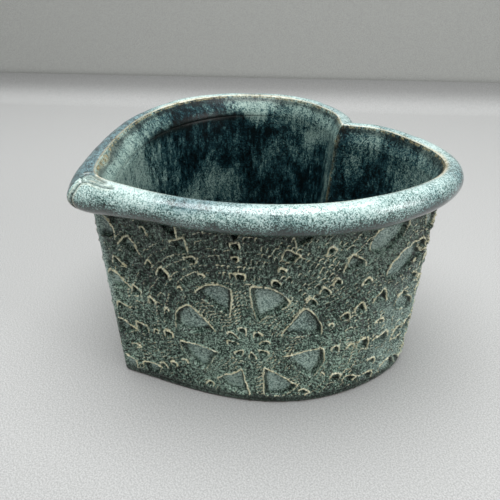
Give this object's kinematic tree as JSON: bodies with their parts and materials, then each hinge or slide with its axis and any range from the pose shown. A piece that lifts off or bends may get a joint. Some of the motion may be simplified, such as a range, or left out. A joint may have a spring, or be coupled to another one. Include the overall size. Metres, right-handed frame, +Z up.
{
  "type": "heart-shaped yarn bowl",
  "caption": "Hand-built heart-shaped stoneware bowl with upright lace-impressed walls and a thick rolled rim, for holding a ball of yarn.",
  "frame": {"origin": "middle of the bowl's footprint, rim included, on the underside of the base", "axes": "+Z up out of the mouth, -Y towards the point of the heart, +Y towards its cleft, +X towards the lobe on the right when seen from the point"},
  "size_m": [0.1769, 0.168, 0.109],
  "materials": {
    "body_glaze": "satin",
    "rim_glaze": "gloss",
    "inner_glaze": "gloss"
  },
  "bodies": {
    "root": {"base_slab": "body_glaze", "right_wall_slab": "body_glaze", "left_wall_slab": "body_glaze", "cleft_seam_coil": "body_glaze", "right_rim_coil": "rim_glaze", "left_rim_coil": "rim_glaze", "right_base_seam_coil": "inner_glaze", "left_base_seam_coil": "inner_glaze", "tip_seam_coil": "inner_glaze"}
  },
  "joints": []
}
